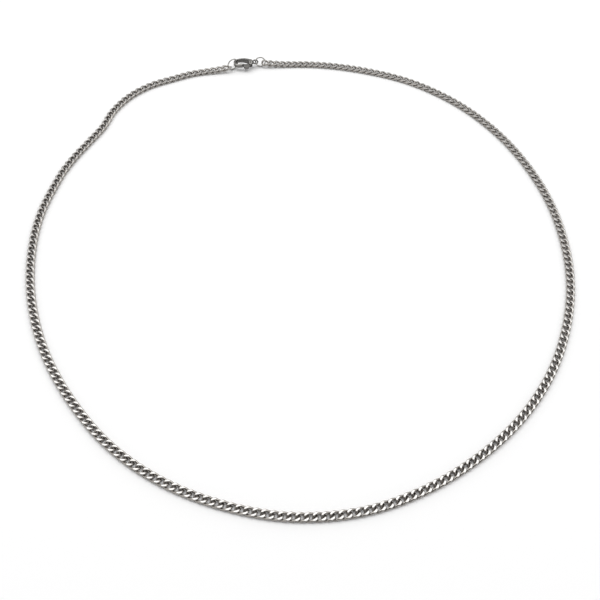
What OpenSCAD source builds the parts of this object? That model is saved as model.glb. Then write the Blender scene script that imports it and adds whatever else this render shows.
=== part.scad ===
// Curb chain necklace of polished steel, closed with a lobster clasp and laid in a loop.
// Millimetres. The chain lies on the plane z = 0, and the clasp is at the far side, +Y.

/* [Chain] */
// Distance from one link to the next along the chain
link_pitch = 2.5; // [2.45:0.05:2.6]
// Round wire that a link is bent from
wire_d = 0.8; // [0.74:0.02:0.84]
// Outer width of the chain
chain_w = 3; // [2.9:0.05:3.2]
// Thickness of the chain between its ground faces
chain_t = 1.36; // [1.28:0.04:1.56]
// Clear space between a link and the next one
link_gap = 0.1; // [0.1:0.01:0.14]
// Straight stretch of wire on each side of a link's tip
tip_straight = 0.08; // [0.06:0.01:0.14]

/* [Jump rings] */
// Round wire of a jump ring
ring_wire = 0.5; // [0.45:0.05:0.55]
// Outer diameter of the ring in the hook
hook_ring_d = 5.1; // [5:0.1:5.3]
// Lean of the ring in the hook, from lying flat
hook_ring_tilt = 86; // [84:1:88]
// Outer diameter of the ring in the tail eye
tail_ring_d = 4.5; // [4.4:0.1:4.8]
// Lean of the ring in the tail eye, from lying flat
tail_ring_tilt = 80; // [78:1:84]

/* [Clasp] */
// Length from the outside of the hook to the middle of the tail eye
clasp_l = 9.1; // [9:0.05:9.3]
// Width of the clasp's body across the hook
clasp_w = 3.8; // [3.7:0.05:3.9]
// Thickness of the clasp's body along its middle
clasp_t = 2.3; // [2.2:0.05:2.4]
// Width of the arm round the hook's opening
arm_w = 0.85; // [0.8:0.05:0.9]
// Round wire of the tail eye
eye_wire = 0.65; // [0.6:0.05:0.7]
// Inner diameter of the tail eye
eye_hole = 1.35; // [1.3:0.05:1.4]
// Lean of the clasp, from lying flat
clasp_tilt = 5; // [4:1:6]
// Height of the clasp's middle above the surface
clasp_z = 2.2; // [2.15:0.05:2.25]

/* [Lever] */
// Thickness of the lever
lever_t = 1.2; // [1:0.1:1.3]
// Width of the lever's bar
lever_w = 0.8; // [0.7:0.05:0.85]
// Radius of the thumb nub
nub_r = 1.15; // [1.05:0.05:1.2]
// Diameter of the lever's pin
pin_d = 0.6; // [0.5:0.05:0.65]
// Clear space round the pin in the lever
pin_gap = 0.05; // [0.03:0.01:0.08]
// Clear space round the lever in the clasp
lever_gap = 0.1; // [0.08:0.01:0.12]

/* [Hidden] */

// Middle of the clasp on the surface, and the heading of the clasp from there
clasp_at = [-28.1, 95.5];
clasp_heading = 13;

// Points the chain passes through, from the tail ring round the front to the hook ring
route_points = [
  [2, 99], [22, 97], [41, 91.5], [58.5, 81], [72.5, 67], [83, 50.5], [90.5, 31.5], [94, 12],
  [94, -8], [90, -27.5], [82.5, -46], [71.5, -62.5], [57.5, -76.5], [41, -88], [22.5, -96],
  [2.5, -99], [-17, -97], [-36, -91], [-53, -81], [-67.5, -67], [-79.5, -50.5], [-88, -32.5],
  [-93, -13.5], [-94.5, 6.5], [-91.5, 26.5], [-88.5, 36], [-84.5, 45], [-80.5, 54],
  [-78, 63.5], [-73, 72.5], [-66, 79.5], [-57.5, 84.5], [-48.5, 89]];

// Facets of the wires, of the rounds and of the widest arcs, where the model shows as a mesh
wire_fn = 32;
round_fn = 72;
wide_fn = 180;

// Straight stretches of a link are a little thinner than its bends, and reach into them
straight_d = wire_d * 0.95;
overlap = 0.05;

// A link is a skew quadrilateral with round corners: half its length, width and rise.
// Neighbours pass on the slant, so the gap counts for more along the chain.
slant = 1.3;
half_l = (link_pitch + wire_d) / 2 + slant * link_gap;
half_w = (chain_w - wire_d) / 2;
rise = wire_d + link_gap;

// First bend of a link: its corner, and the directions to the next bends at side and tip
corner = [half_l, half_w, -rise];
to_side = [-half_l, 0, rise] / norm([half_l, rise]);
to_tip = [0, -half_w, rise] / norm([half_w, rise]);
corner_angle = acos(to_side * to_tip);
bend_run = norm([half_w, rise]) - tip_straight;
bend_r = bend_run * tan(corner_angle / 2);
bend_axis = (to_side + to_tip) / norm(to_side + to_tip);
bend_center = corner + bend_axis * bend_r / sin(corner_angle / 2);
bend_x = (corner + to_side * bend_run - bend_center) / bend_r;
bend_end = (corner + to_tip * bend_run - bend_center) / bend_r;
bend_z = cross(bend_x, bend_end) / norm(cross(bend_x, bend_end));
bend_y = cross(bend_z, bend_x);

// The clasp's line, with the middle of the tail eye and the outside of the hook on it
clasp_off = 0.2;
tail_x = clasp_l / 2 - 0.65;
hook_x = tail_x - clasp_l;
function ahead(v, a, l) = v + l * [cos(a), sin(a)];
function on_clasp_line(x, y) = ahead(ahead(clasp_at, clasp_heading, x), clasp_heading + 90, y);

// Ring in the hook: centre line radius, heading, and how far past the hook's arm its middle is
hook_ring_r = (hook_ring_d - ring_wire) / 2;
hook_ring_heading = clasp_heading + 25;
hook_ring_past = 0.9;
hook_ring_off = -0.5;
hook_ring_at = on_clasp_line(hook_x + arm_w / 2 - hook_ring_past, hook_ring_off);

// Ring in the tail eye: its wire goes through the eye just past the eye's middle
tail_ring_r = (tail_ring_d - ring_wire) / 2;
tail_ring_heading = clasp_heading - 8;
tail_ring_past = 0.1;
tail_ring_at = ahead(on_clasp_line(tail_x + tail_ring_past, clasp_off), tail_ring_heading, tail_ring_r);

// Ends of the chain: the end links pass through the rings, and the chain rises to them
end_inset = 1.2;
end_lift = 0.9;
lift_run = 12;
start_heading = 6;
final_heading = 24;
start_tip = ahead(tail_ring_at, tail_ring_heading, tail_ring_r - end_inset);
final_tip = ahead(hook_ring_at, hook_ring_heading, end_inset - hook_ring_r);
route = concat([ahead(start_tip, start_heading, half_l)], route_points,
  [ahead(final_tip, final_heading, -half_l)]);

// Clasp, in its own plane: the round of the hook, the back arched from it to the shoulder, and the
// radii of the body's upper and lower faces across and along it
hook_r = clasp_w / 2;
hook_at = [hook_x + hook_r, 0];
back_r = 6.8;
back_way = [0.22, -0.975];
back_at = hook_at + back_way * (back_r - hook_r);
join_x = hook_at[0] - 0.15;
shoulder_at = [tail_x - 2.4, -0.2];
shoulder_r = 1;
shoulder_foot = -0.8;
arch_end = shoulder_at[0] + 0.2;
across_r = 6.5;
along_r = 55;

// Neck of the clasp, which narrows from the shoulder to its end in the eye's wire, and is thin there
neck_x = tail_x - eye_hole / 2 - 0.2;
neck_top = [0.7, 0.4];
neck_foot = [-0.9, -0.4];
neck_half_t = eye_wire / 2 - 0.05;
thin_x = neck_x + 0.1;

// Lever: its pivot between the cheeks, its tip and its nub, the round that hollows its inner edge,
// and how far out the tip swings
pivot = [shoulder_at[0] + 0.2, -1];
cheek_r = 0.85;
root_r = 0.6;
tip = pivot + [-3, -0.25];
nub = pivot + [-1.8, -1.15];
hollow_r = 2.2;
hollow_at = pivot + [-1.75, 1.85];
swing_r = norm(tip - pivot) + lever_w / 2 + lever_gap;

// Where the hook's upper side ends on its way in, where the arch's lower edge begins to rise,
// where the hole inside the hook ends, and how far the slot rises for the lever
gate_y = -0.3;
belly_x = shoulder_at[0] - 2;
hole_end = pivot[0] - 0.6;
slot_rise = 0.15;

// The pin is pressed into a bore smaller by this, and its ends lie this far under the faces
press = 0.02;
pin_sunk = 0.08;
// Straight sides meet the rounds this far inside their edge
seam = 0.01;

// Smooth curve through the route's points, with its length added up in short steps
steps = 12;
last = len(route) - 1;
function span(i) = norm(route[i + 1] - route[i]);
function heading(i) = i == 0 ? (route[1] - route[0]) / span(0)
  : i == last ? (route[last] - route[last - 1]) / span(last - 1)
  : (route[i + 1] - route[i - 1]) / (span(i) + span(i - 1));
function hermite(i, t) = route[i] * (1 + 2 * t) * (1 - t) * (1 - t)
  + heading(i) * span(i) * t * (1 - t) * (1 - t)
  + route[i + 1] * t * t * (3 - 2 * t) + heading(i + 1) * span(i) * t * t * (t - 1);
curve = concat([for (i = [0:last - 1], k = [0:steps - 1]) hermite(i, k / steps)], [route[last]]);
lengths = [for (i = 0, s = 0; i < len(curve); s = s + (i + 1 < len(curve) ?
  norm(curve[i + 1] - curve[i]) : 0), i = i + 1) s];
table_x = [for (i = [0:len(curve) - 1]) [lengths[i], curve[i][0]]];
table_y = [for (i = [0:len(curve) - 1]) [lengths[i], curve[i][1]]];
route_l = lengths[len(curve) - 1];
links = round(route_l / link_pitch) + 1;
step = route_l / (links - 1);

// Place, heading and slope of the chain at a length along the route
function from_end(s) = min(s, route_l - s);
function lift(s) = end_lift * pow(max(0, 1 - from_end(s) / lift_run), 2);
function place(s) = [lookup(s, table_x), lookup(s, table_y), chain_t / 2 + lift(s)];
function aim(s) = place(min(s + step / 2, route_l)) - place(max(s - step / 2, 0));

module wire_bend(flip, half_turn) {
  rotate([flip, 0, half_turn])
    multmatrix([for (k = [0:2]) [bend_x[k], bend_y[k], bend_z[k], bend_center[k]]])
      rotate_extrude(angle = 180 - corner_angle, $fn = round_fn)
        translate([bend_r, 0]) circle(d = wire_d, $fn = wire_fn);
}

module wire_straight(middle, along, half, half_turn) {
  rotate([0, 0, half_turn]) translate(middle - along * half)
    rotate([0, acos(along[2]), atan2(along[1], along[0])])
      cylinder(h = 2 * half, d = straight_d, $fn = wire_fn);
}

// One link, bent from round wire and ground flat above and below
module link() {
  side_half = norm([half_l, rise]) - bend_run + overlap;
  tip_half = tip_straight + overlap;
  intersection() {
    union() {
      wire_bend(0, 0);
      wire_bend(180, 0);
      wire_bend(0, 180);
      wire_bend(180, 180);
      wire_straight([0, half_w, 0], to_side, side_half, 0);
      wire_straight([0, half_w, 0], to_side, side_half, 180);
      wire_straight([half_l, 0, 0], to_tip, tip_half, 0);
      wire_straight([half_l, 0, 0], to_tip, tip_half, 180);
    }
    cube([4 * half_l, 4 * half_w, chain_t], center = true);
  }
}

module chain(first, final) {
  for (i = [first:final]) {
    v = aim(i * step);
    translate(place(i * step))
      rotate([0, -atan2(v[2], norm([v[0], v[1]])), atan2(v[1], v[0])]) link();
  }
}

module chain_right() {
  color("silver") chain(0, floor(links / 2) - 1);
}

module chain_left() {
  color("silver") chain(floor(links / 2), links - 1);
}

module ring(r, wire) {
  rotate_extrude($fn = round_fn) translate([r, 0]) circle(d = wire, $fn = wire_fn);
}

// A jump ring leans back from lying flat, with its lowest point on the surface
module jump_ring(at, heading, lean, r) {
  translate([at[0], at[1], r * sin(lean) + ring_wire / 2])
    rotate([0, 0, heading]) rotate([lean, 0, 0]) ring(r, ring_wire);
}

module tail_ring() {
  color("gainsboro") jump_ring(tail_ring_at, tail_ring_heading, tail_ring_tilt, tail_ring_r);
}

module hook_ring() {
  color("gainsboro") jump_ring(hook_ring_at, hook_ring_heading, hook_ring_tilt, hook_ring_r);
}

// Puts the clasp's pieces, which are drawn in its own plane, where the clasp lies
module lay_clasp() {
  at = on_clasp_line(0, clasp_off);
  translate([at[0], at[1], clasp_z]) rotate([0, 0, clasp_heading]) rotate([clasp_tilt, 0, 0]) children();
}

module rod(at, r, h) {
  translate(at) cylinder(r = r, h = h, center = true, $fn = round_fn);
}

module plate(points, h) {
  linear_extrude(h, center = true) polygon(points);
}

// What lies within the radius r of the middle of the arched back, above a low edge
module arch(r, right, low, low_right, h) {
  intersection() {
    rod(back_at, r, h);
    plate([[join_x, low], [join_x, clasp_w], [right, clasp_w], [right, low_right], [belly_x, low]], 2 * h);
  }
}

// Upper and lower faces of the body, rounded across and along it
module faces() {
  intersection_for (side = [-1, 1])
    translate([pivot[0], 0, side * (along_r - clasp_t / 2)]) rotate([90, 0, 0])
      rotate_extrude($fn = wide_fn) translate([along_r - across_r, 0]) circle(r = across_r, $fn = wide_fn);
}

// The body's outline from above, rounded over its faces and thinned along the neck
module clasp_shape() {
  intersection() {
    union() {
      rod(hook_at, hook_r, 2 * clasp_t);
      arch(back_r, arch_end, seam - hook_r, shoulder_foot, 2 * clasp_t);
      rod(shoulder_at, shoulder_r, 2 * clasp_t);
      rod(pivot, cheek_r, 2 * clasp_t);
      plate([[shoulder_at[0], neck_top[0]], [neck_x, neck_top[1]], [neck_x, neck_foot[1]],
        [shoulder_at[0], neck_foot[0]]], 2 * clasp_t);
    }
    faces();
    rotate([90, 0, 0])
      plate([[hook_x - clasp_w, -clasp_t], [hook_x - clasp_w, clasp_t], [shoulder_at[0], clasp_t],
        [thin_x, neck_half_t], [thin_x, -neck_half_t], [shoulder_at[0], -clasp_t]], 3 * clasp_w);
  }
}

module clasp_body() {
  slot = lever_t + 2 * lever_gap;
  room = root_r + lever_gap;
  color("silver") lay_clasp() difference() {
    union() {
      clasp_shape();
      translate([tail_x, 0, 0]) ring((eye_hole + eye_wire) / 2, eye_wire);
    }
    // Opening inside the hook
    rod(hook_at, hook_r - arm_w, 3 * clasp_t);
    arch(back_r - arm_w, hole_end, arm_w - hook_r, arm_w - hook_r, 3 * clasp_t);
    // Way into the hook, as far as the lever's tip swings, and the slot between the cheeks
    intersection() {
      rod(pivot, swing_r, 3 * clasp_t);
      plate([[-clasp_w, -clasp_w], [-clasp_w, gate_y], [hole_end, gate_y], [hole_end, -clasp_w]],
        4 * clasp_t);
    }
    intersection() {
      rod(pivot, swing_r, slot);
      plate([[-clasp_w, -clasp_w], [-clasp_w, gate_y], pivot + [-1, room + slot_rise],
        pivot + [0, room], pivot + [room, 0], [pivot[0] + room, -clasp_w]], 2 * slot);
    }
    rod(pivot, room, slot);
    translate(pivot) cylinder(d = pin_d - press, h = 2 * clasp_t, center = true, $fn = wire_fn);
  }
}

// The lever turns on its pin: its tip swings in, away from the hook's tip
module clasp_lever() {
  bar = (pivot - tip) / norm(pivot - tip);
  out = [-bar[1], bar[0]];
  color("gray") lay_clasp() difference() {
    union() {
      rod(pivot, root_r, lever_t);
      rod(tip, lever_w / 2, lever_t);
      rod(nub, nub_r, lever_t);
      plate([tip + out * (lever_w / 2 - seam), pivot + out * (root_r - seam),
        pivot + [root_r - seam, 0], nub + [nub_r - seam, 0], nub + [seam - nub_r, 0],
        tip - out * (lever_w / 2 - seam)], lever_t);
    }
    rod(hollow_at, hollow_r, 2 * lever_t);
    rod(pivot, pin_d / 2 + pin_gap, 2 * lever_t);
  }
}

module lever_pin() {
  color("gray") lay_clasp() translate(pivot)
    cylinder(d = pin_d, h = clasp_t - 2 * pin_sunk, center = true, $fn = wire_fn);
}

chain_right();
chain_left();
tail_ring();
hook_ring();
clasp_body();
clasp_lever();
lever_pin();
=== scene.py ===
"""Looks of the curb chain necklace: links, rings, clasp and lever in polished steel, on a pale floor."""
import math
import random

import bmesh
import bpy
import numpy as np
from mathutils import Euler, Matrix, Vector


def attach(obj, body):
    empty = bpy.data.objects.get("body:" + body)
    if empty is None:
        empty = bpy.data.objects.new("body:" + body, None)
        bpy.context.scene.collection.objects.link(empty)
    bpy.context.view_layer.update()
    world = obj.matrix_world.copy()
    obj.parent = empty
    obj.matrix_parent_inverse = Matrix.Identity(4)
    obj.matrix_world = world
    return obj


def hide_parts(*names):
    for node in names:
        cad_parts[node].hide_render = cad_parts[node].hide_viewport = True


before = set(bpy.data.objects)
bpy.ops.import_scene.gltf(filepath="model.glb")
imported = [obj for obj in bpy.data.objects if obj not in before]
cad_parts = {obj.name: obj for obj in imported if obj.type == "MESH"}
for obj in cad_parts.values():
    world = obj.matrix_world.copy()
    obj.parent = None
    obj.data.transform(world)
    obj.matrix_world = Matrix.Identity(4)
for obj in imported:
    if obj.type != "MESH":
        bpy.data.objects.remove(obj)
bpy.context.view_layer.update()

MM = 0.001

# Camera, fitted to the photograph: place in mm, pitch down and roll in degrees, and lens
CAMERA_AT = (0.38, -188.92, 234.79)
CAMERA_PITCH = 54.64
CAMERA_ROLL = 3.5
CAMERA_LENS = 50.94

# One link, in mm: the part's own driving sizes, then the width of the worn edge of its ground faces,
# the steps of each bend and round the wire, and how many links make one piece
LINK_PITCH = 2.5
WIRE_D = 0.8
CHAIN_W = 3.0
CHAIN_T = 1.36
LINK_GAP = 0.1
TIP_STRAIGHT = 0.08
SLANT = 1.3
FACET_ROUND = 0.08
BEND_STEPS = 14
WIRE_SIDES = 26
LINKS_A_PIECE = 60

# How far a link may be turned about each axis, in degrees, and how close neighbours lie, in pitches
LINK_PLAY = 0.5
NEIGHBOUR = 1.5

# Jump rings: steps along and around the wire, the hairline's width in mm, and where it is, in radians
RING_STEPS = 160
RING_SIDES = 24
SEAM = 0.03
HOOK_SEAM_TURN = 2.2
TAIL_SEAM_TURN = 0.9

# Castings: voxel size, rounds of smoothing that soften their edges, and how close points are joined, in mm
CAST_VOXEL = 0.042
BODY_ROUNDING = 14
LEVER_ROUNDING = 10
WELD_DISTANCE = 1e-4

# Pin: its sides, the steps of its domed ends and the dome's height in mm
PIN_SIDES = 40
DOME_STEPS = 6
DOME = 0.08

# Steel: linear colours, of which the facets' fades in between two values of the attribute ground,
# then the scales of the noise for drift of colour, wear and scratches, and the scratches' depth in mm
FACET_COLOR = (0.46, 0.449, 0.435)
# Painted shade: the walls' colour is darker than the facets' to stand in for the shadowed floor and dark
# room that the walls reflect.
WALL_PAINTED_SHADE = (0.37, 0.348, 0.325)
RING_COLOR = (0.42, 0.41, 0.39)
# Painted shade: the clasp and the lever are the chain's steel, their colours darkened to stand in for the
# shade and dark reflections on them.
CLASP_PAINTED_SHADE = (0.2, 0.195, 0.187)
LEVER_PAINTED_SHADE = (0.165, 0.16, 0.153)
GROUND_FROM = 0.4
GROUND_FULL = 1.6
DRIFT_SCALE = 180.0
WEAR_SCALE = 900.0
SCRATCH_SCALE = 2600.0
SCRATCH_DEPTH = 0.01

# Floor: its colour and half its width in mm
FLOOR_COLOR = (0.95, 0.95, 0.95, 1)
FLOOR_HALF = 1200.0

# Light: the room is darker around one direction, in front and above, and the softbox is level, above
# and behind the loop. Sizes in mm, power in watts.
WORLD_STRENGTH = 0.89
WORLD_DARK = 0.08
DARK_TOWARDS = (0, -0.64, 0.77)
DARK_FROM = 0.6
DARK_FULL = 0.93
SOFTBOX_AT = (-60, 250, 900)
SOFTBOX_SIZE = (1800, 700)
SOFTBOX_POWER = 6.9


def add_object(name, mesh):
    piece = bpy.data.objects.new(name, mesh)
    bpy.context.scene.collection.objects.link(piece)
    return piece


def mesh_from(name, verts, faces, flat=()):
    """A mesh of these points in mm. The faces numbered in flat are shaded flat, the others smooth."""
    mesh = bpy.data.meshes.new(name)
    mesh.from_pydata((np.asarray(verts) * MM).tolist(), [], faces)
    smooth = np.ones(len(faces), bool)
    smooth[list(flat)] = False
    mesh.polygons.foreach_set("use_smooth", smooth)
    mesh.update()
    return mesh


def node_points(node):
    """The points of a CAD node in mm, as an array."""
    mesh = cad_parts[node].data
    points = np.empty(len(mesh.vertices) * 3)
    mesh.vertices.foreach_get("co", points)
    return points.reshape(-1, 3) / MM


def node_triangles(node):
    """The corner numbers of a CAD node's triangles, as an array."""
    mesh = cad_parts[node].data
    mesh.calc_loop_triangles()
    corners = np.empty(len(mesh.loop_triangles) * 3, np.int32)
    mesh.loop_triangles.foreach_get("vertices", corners)
    return corners.reshape(-1, 3)


# Materials


class Nodes:
    """Short calls for the nodes of one material."""

    def __init__(self, name):
        self.material = bpy.data.materials.new(name)
        self.material.use_nodes = True
        self.tree = self.material.node_tree
        self.shader = self.tree.nodes["Principled BSDF"]

    def add(self, kind, **values):
        node = self.tree.nodes.new("ShaderNode" + kind)
        for key, value in values.items():
            if hasattr(node, key):
                setattr(node, key, value)
            else:
                node.inputs[key.replace("_", " ").title()].default_value = value
        return node

    def link(self, source, target):
        self.tree.links.new(source, target)


def steel(name, color, roughness, tint=0.06, scratch=0.25, recess_shade=0.45, recess_shade_reach=0.5, ground_color=None):
    """Polished steel: its colour drifts a little and fine scratches show in its gloss; recesses get
    painted shade, darkened by ambient occlusion. With a ground colour, what the mesh's attribute ground
    marks has that colour instead."""
    n = Nodes(name)
    n.shader.inputs["Metallic"].default_value = 1.0
    place = n.add("TexCoord").outputs["Object"]

    drift = n.add("TexNoise", Scale=DRIFT_SCALE, Detail=4.0, Roughness=0.6)
    n.link(place, drift.inputs["Vector"])
    shade = n.add("ValToRGB")
    dark = [c * (1 - 2 * tint) for c in color]
    light = [min(1.0, c * (1 + tint)) for c in color]
    shade.color_ramp.elements[0].position = 0.3
    shade.color_ramp.elements[0].color = (*dark, 1)
    shade.color_ramp.elements[1].position = 0.7
    shade.color_ramp.elements[1].color = (*light, 1)
    n.link(drift.outputs["Fac"], shade.inputs["Fac"])

    base = shade.outputs["Color"]
    if ground_color:
        ground = n.add("MapRange", interpolation_type="SMOOTHSTEP")
        ground.inputs["From Min"].default_value = GROUND_FROM
        ground.inputs["From Max"].default_value = GROUND_FULL
        n.link(n.add("Attribute", attribute_name="ground").outputs["Fac"], ground.inputs["Value"])
        fresh = n.add("Mix", data_type="RGBA")
        fresh.inputs["B"].default_value = (*ground_color, 1)
        n.link(ground.outputs["Result"], fresh.inputs["Factor"])
        n.link(base, fresh.inputs["A"])
        base = fresh.outputs["Result"]

    # Painted shade: ambient occlusion darkens the colour in recesses and where parts touch.
    recess = n.add("AmbientOcclusion", samples=8)
    recess.inputs["Distance"].default_value = recess_shade_reach * MM
    shade_factor = n.add("MapRange")
    shade_factor.inputs["From Min"].default_value = 0.25
    shade_factor.inputs["From Max"].default_value = 0.95
    shade_factor.inputs["To Min"].default_value = 1.0 - recess_shade
    n.link(recess.outputs["AO"], shade_factor.inputs["Value"])
    shaded_base = n.add("Mix", data_type="RGBA", blend_type="MULTIPLY")
    shaded_base.inputs["Factor"].default_value = 1.0
    n.link(base, shaded_base.inputs["A"])
    n.link(shade_factor.outputs["Result"], shaded_base.inputs["B"])
    n.link(shaded_base.outputs["Result"], n.shader.inputs["Base Color"])

    wear = n.add("TexNoise", Scale=WEAR_SCALE, Detail=6.0, Roughness=0.65)
    n.link(place, wear.inputs["Vector"])
    gloss = n.add("MapRange")
    gloss.inputs["From Min"].default_value = 0.3
    gloss.inputs["From Max"].default_value = 0.7
    gloss.inputs["To Min"].default_value = roughness * (1 - scratch)
    gloss.inputs["To Max"].default_value = roughness * (1 + scratch)
    n.link(wear.outputs["Fac"], gloss.inputs["Value"])
    n.link(gloss.outputs["Result"], n.shader.inputs["Roughness"])

    lines = n.add("TexNoise", Scale=SCRATCH_SCALE, Detail=3.0, Roughness=0.7, Distortion=0.4)
    n.link(place, lines.inputs["Vector"])
    bump = n.add("Bump")
    bump.inputs["Strength"].default_value = 0.12
    bump.inputs["Distance"].default_value = SCRATCH_DEPTH * MM
    n.link(lines.outputs["Fac"], bump.inputs["Height"])
    n.link(bump.outputs["Normal"], n.shader.inputs["Normal"])
    return n.material


def floor_material():
    n = Nodes("floor_matt")
    n.shader.inputs["Base Color"].default_value = FLOOR_COLOR
    n.shader.inputs["Roughness"].default_value = 0.9
    n.shader.inputs["Specular IOR Level"].default_value = 0.1
    return n.material


# Shapes


def link_path():
    """Centre line of a link: a skew quadrilateral with round corners, as points in mm."""
    half_l = (LINK_PITCH + WIRE_D) / 2 + SLANT * LINK_GAP
    half_w = (CHAIN_W - WIRE_D) / 2
    rise = WIRE_D + LINK_GAP
    bend_run = math.hypot(half_w, rise) - TIP_STRAIGHT
    corners = [Vector((half_l, half_w, -rise)), Vector((-half_l, half_w, rise)),
               Vector((-half_l, -half_w, -rise)), Vector((half_l, -half_w, rise))]
    path = []
    for k, corner in enumerate(corners):
        before = (corners[k - 1] - corner).normalized()
        after = (corners[(k + 1) % 4] - corner).normalized()
        angle = before.angle(after)
        radius = bend_run * math.tan(angle / 2)
        middle = corner + (before + after).normalized() * radius / math.sin(angle / 2)
        start = (corner + before * bend_run - middle).normalized()
        end = (corner + after * bend_run - middle).normalized()
        for i in range(BEND_STEPS + 1):
            path.append(middle + start.slerp(end, i / BEND_STEPS) * radius)
    return path


def link_shape():
    """One link: round wire along its path, ground flat above and below with worn edges.
    Gives its points in mm, its faces, and how far each point has been ground."""
    path = link_path()
    points = []
    for i, point in enumerate(path):
        along = (path[(i + 1) % len(path)] - path[i - 1]).normalized()
        side = along.cross(Vector((0, 0, 1))).normalized()
        up = side.cross(along)
        for k in range(WIRE_SIDES):
            turn = 2 * math.pi * k / WIRE_SIDES
            points.append(point + (side * math.cos(turn) + up * math.sin(turn)) * WIRE_D / 2)
    points = np.array(points)
    start = CHAIN_T / 2 - FACET_ROUND
    over = np.maximum(np.abs(points[:, 2]) - start, 0) / FACET_ROUND
    ground = start + FACET_ROUND * (1 - np.exp(-over))
    points[:, 2] = np.where(over > 0, np.sign(points[:, 2]) * ground, points[:, 2])
    return points, tube_faces(len(path), WIRE_SIDES, True), over


def tube_faces(rings, sides, closed):
    """Faces of a tube of rings of points, each of which has as many sides."""
    faces = []
    for i in range(rings if closed else rings - 1):
        near = i * sides
        far = (i + 1) % rings * sides
        for k in range(sides):
            turned = (k + 1) % sides
            faces.append([near + k, near + turned, far + turned, far + k])
    return faces


def link_places(node):
    """Where each link of a chain node is: the volume centre of each loose solid in it."""
    points = node_points(node)
    triangles = node_triangles(node)
    keys, same = np.unique(np.round(points, 4), axis=0, return_inverse=True)
    same = same.reshape(-1)
    triangles = same[triangles]
    group = np.arange(len(keys))
    while True:
        low = group[triangles].min(1)
        fresh = group.copy()
        np.minimum.at(fresh, triangles.reshape(-1), np.repeat(low, 3))
        fresh = fresh[fresh]
        if (fresh == group).all():
            break
        group = fresh
    corner = keys[triangles]
    volume = np.einsum("ij,ij->i", corner[:, 0], np.cross(corner[:, 1], corner[:, 2])) / 6
    solid = group[triangles[:, 0]]
    places = []
    for number in np.unique(solid):
        own = solid == number
        share = volume[own] / volume[own].sum()
        places.append((corner[own].sum(1) / 4 * share[:, None]).sum(0))
    return places


def in_order(places):
    """The places in order along the chain, which starts at the one with a single close neighbour."""
    left = [np.asarray(p) for p in places]
    near = [sum(np.linalg.norm(q - p) < NEIGHBOUR * LINK_PITCH for q in left) for p in left]
    order = [left.pop(near.index(2))]
    while left:
        nearest = min(range(len(left)), key=lambda i: np.linalg.norm(left[i] - order[-1]))
        order.append(left.pop(nearest))
    return order


def link_turns(order):
    """Each link's rotation: its length follows the line between its neighbours."""
    turns = []
    for i in range(len(order)):
        along = Vector(order[min(i + 1, len(order) - 1)] - order[max(i - 1, 0)])
        yaw = math.atan2(along.y, along.x)
        pitch = -math.atan2(along.z, math.hypot(along.x, along.y))
        play = [math.radians(random.uniform(-LINK_PLAY, LINK_PLAY)) for _ in range(3)]
        turn = Euler((0, pitch, yaw), "XYZ").to_matrix() @ Euler(play, "XYZ").to_matrix()
        turns.append(np.array(turn))
    return turns


def chain_pieces():
    """The links as joined meshes, each of which stands for a stretch of one of the two chain nodes."""
    points, faces, over = link_shape()
    found = {node: link_places(node) for node in ("chain_right", "chain_left")}
    order = in_order([p for places in found.values() for p in places])
    turns = link_turns(order)
    node_of = {tuple(p): node for node, places in found.items() for p in places}
    for node in found:
        own = [i for i, p in enumerate(order) if node_of[tuple(p)] == node]
        for number, start in enumerate(range(0, len(own), LINKS_A_PIECE)):
            batch = own[start:start + LINKS_A_PIECE]
            verts = np.concatenate([points @ turns[i].T + order[i] for i in batch])
            many = [[v + k * len(points) for v in face] for k in range(len(batch)) for face in faces]
            mesh = mesh_from(f"{node}_links_{number + 1}", verts, many)
            outward(mesh)
            ground = mesh.attributes.new("ground", "FLOAT", "POINT")
            ground.data.foreach_set("value", np.tile(over, len(batch)))
            mesh.materials.append(chain_steel)
            piece = add_object(mesh.name, mesh)
            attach(piece, "necklace")
            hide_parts(node)


def principal_axes(points):
    """Centre and axes of a node's points, the axis with the least spread first."""
    center = (points.max(0) + points.min(0)) / 2
    _, axes = np.linalg.eigh(np.cov((points - center).T))
    if np.linalg.det(axes) < 0:
        axes[:, 2] = -axes[:, 2]
    return center, axes


def ring_piece(node, seam_turn):
    """A jump ring of round wire, bent closed, with the hairline where its ends meet."""
    points = node_points(node)
    center, axes = principal_axes(points)
    local = (points - center) @ axes
    wire_r = np.abs(local[:, 0]).max()
    ring_r = np.hypot(local[:, 1], local[:, 2]).max() - wire_r
    half_seam = SEAM / ring_r / 2
    verts = []
    for i in range(RING_STEPS + 1):
        turn = seam_turn + half_seam + (2 * math.pi - 2 * half_seam) * i / RING_STEPS
        radial = axes[:, 1] * math.cos(turn) + axes[:, 2] * math.sin(turn)
        for k in range(RING_SIDES):
            around = 2 * math.pi * k / RING_SIDES
            out = radial * (ring_r + wire_r * math.cos(around))
            verts.append(center + out + axes[:, 0] * wire_r * math.sin(around))
    faces = tube_faces(RING_STEPS + 1, RING_SIDES, False)
    faces.append(list(range(RING_SIDES)))
    faces.append([RING_STEPS * RING_SIDES + k for k in range(RING_SIDES)])
    mesh = mesh_from(node + "_wire", verts, faces, (len(faces) - 2, len(faces) - 1))
    outward(mesh)
    mesh.materials.append(ring_steel)
    piece = add_object(mesh.name, mesh)
    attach(piece, "necklace")
    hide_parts(node)


def outward(mesh):
    """Turns a mesh's faces outwards."""
    bm = bmesh.new()
    bm.from_mesh(mesh)
    bmesh.ops.recalc_face_normals(bm, faces=bm.faces)
    bm.to_mesh(mesh)
    bm.free()


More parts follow.
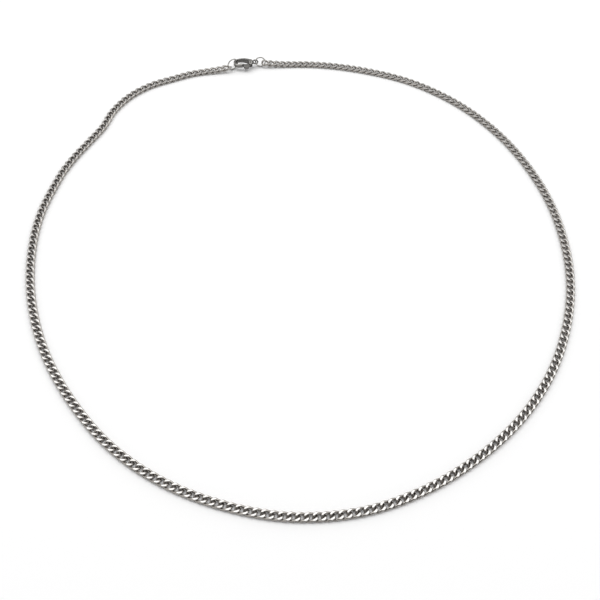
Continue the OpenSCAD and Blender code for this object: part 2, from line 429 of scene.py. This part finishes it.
def cast_piece(name, node, body, material, rounding):
    """A casting with softened edges: the CAD node's copy, remeshed in mm and smoothed."""
    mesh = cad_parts[node].data.copy()
    mesh.name = name
    center, _ = principal_axes(node_points(node))
    mesh.transform(Matrix.Translation(-Vector(center) * MM))
    mesh.transform(Matrix.Scale(1 / MM, 4))
    weld = bmesh.new()
    weld.from_mesh(mesh)
    bmesh.ops.remove_doubles(weld, verts=weld.verts, dist=WELD_DISTANCE)
    weld.to_mesh(mesh)
    weld.free()
    draft = add_object(name + "_draft", mesh)
    remesh = draft.modifiers.new("remesh", "REMESH")
    remesh.mode = "VOXEL"
    remesh.voxel_size = CAST_VOXEL
    smooth = draft.modifiers.new("smooth", "SMOOTH")
    smooth.factor = 0.5
    smooth.iterations = rounding
    bpy.context.view_layer.update()
    evaluated = draft.evaluated_get(bpy.context.evaluated_depsgraph_get())
    final = bpy.data.meshes.new_from_object(evaluated)
    bpy.data.objects.remove(draft)
    final.transform(Matrix.Scale(MM, 4))
    final.transform(Matrix.Translation(Vector(center) * MM))
    final.name = name
    final.polygons.foreach_set("use_smooth", np.ones(len(final.polygons), bool))
    final.materials.clear()
    final.materials.append(material)
    final.update()
    piece = add_object(name, final)
    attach(piece, body)
    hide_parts(node)


def pin_piece():
    """The lever's pin, with its ends domed as riveted."""
    points = node_points("lever_pin")
    center, axes = principal_axes(points)
    local = (points - center) @ axes
    half_l = np.abs(local[:, 2]).max()
    radius = np.hypot(local[:, 0], local[:, 1]).max()
    rise = [math.radians(90 * i / DOME_STEPS) for i in range(DOME_STEPS)]
    profile = [(half_l - DOME + DOME * math.sin(a), radius - DOME + DOME * math.cos(a)) for a in rise]
    rows = [(-z, r) for z, r in reversed(profile)] + profile
    verts = []
    for z, r in rows:
        for k in range(PIN_SIDES):
            turn = 2 * math.pi * k / PIN_SIDES
            verts.append(center + axes @ np.array([r * math.cos(turn), r * math.sin(turn), z]))
    faces = tube_faces(len(rows), PIN_SIDES, False)
    faces.append(list(range(PIN_SIDES)))
    faces.append([(len(rows) - 1) * PIN_SIDES + k for k in range(PIN_SIDES)])
    mesh = mesh_from("lever_pin_riveted", verts, faces)
    outward(mesh)
    mesh.materials.append(lever_steel)
    piece = add_object(mesh.name, mesh)
    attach(piece, "necklace")
    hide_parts("lever_pin")


# Stage


def floor():
    half = FLOOR_HALF
    corners = [(-half, -half, 0), (half, -half, 0), (half, half, 0), (-half, half, 0)]
    mesh = mesh_from("floor", corners, [[0, 1, 2, 3]])
    mesh.materials.append(floor_material())
    add_object("floor", mesh)


def softbox():
    lamp = bpy.data.lights.new("softbox", "AREA")
    lamp.shape = "RECTANGLE"
    lamp.size = SOFTBOX_SIZE[0] * MM
    lamp.size_y = SOFTBOX_SIZE[1] * MM
    lamp.energy = SOFTBOX_POWER
    add_object("softbox", lamp).location = Vector(SOFTBOX_AT) * MM


def studio():
    world = bpy.data.worlds.new("studio")
    bpy.context.scene.world = world
    world.use_nodes = True
    tree = world.node_tree
    background = tree.nodes["Background"]
    background.inputs["Color"].default_value = (1.0, 1.0, 1.0, 1)
    near = tree.nodes.new("ShaderNodeVectorMath")
    near.operation = "DOT_PRODUCT"
    near.inputs[1].default_value = DARK_TOWARDS
    tree.links.new(tree.nodes.new("ShaderNodeTexCoord").outputs["Generated"], near.inputs[0])
    fade = tree.nodes.new("ShaderNodeMapRange")
    fade.interpolation_type = "SMOOTHSTEP"
    fade.inputs["From Min"].default_value = DARK_FROM
    fade.inputs["From Max"].default_value = DARK_FULL
    fade.inputs["To Min"].default_value = WORLD_STRENGTH
    fade.inputs["To Max"].default_value = WORLD_DARK
    tree.links.new(near.outputs["Value"], fade.inputs["Value"])
    tree.links.new(fade.outputs["Result"], background.inputs["Strength"])
    softbox()
    bpy.context.scene.view_settings.view_transform = "Standard"


def camera():
    data = bpy.data.cameras.new("camera")
    data.sensor_width = 36
    data.lens = CAMERA_LENS
    data.clip_start = 0.005
    piece = add_object("camera", data)
    piece.location = Vector(CAMERA_AT) * MM
    tilt = Matrix.Rotation(math.radians(90 - CAMERA_PITCH), 3, "X")
    roll = Matrix.Rotation(math.radians(CAMERA_ROLL), 3, "Z")
    piece.rotation_euler = (tilt @ roll).to_euler()
    bpy.context.scene.camera = piece


random.seed(7)
camera()
# The chain's walls carry painted shade in their darker colour; the ground facets have the steel's lighter
# colour.
chain_steel = steel("steel_chain", WALL_PAINTED_SHADE, 0.22, recess_shade=0.05, ground_color=FACET_COLOR)
ring_steel = steel("steel_ring", RING_COLOR, 0.2)
# The clasp and the lever carry painted shade in their dark colours and strong painted shade in their
# recesses.
clasp_steel = steel("steel_clasp", CLASP_PAINTED_SHADE, 0.26, recess_shade=0.8, recess_shade_reach=1.5)
lever_steel = steel("steel_lever", LEVER_PAINTED_SHADE, 0.3, recess_shade=0.6, recess_shade_reach=1.0)
chain_pieces()
ring_piece("hook_ring", HOOK_SEAM_TURN)
ring_piece("tail_ring", TAIL_SEAM_TURN)
cast_piece("clasp_body_cast", "clasp_body", "necklace", clasp_steel, BODY_ROUNDING)
cast_piece("clasp_lever_cast", "clasp_lever", "lever", lever_steel, LEVER_ROUNDING)
pin_piece()
floor()
studio()
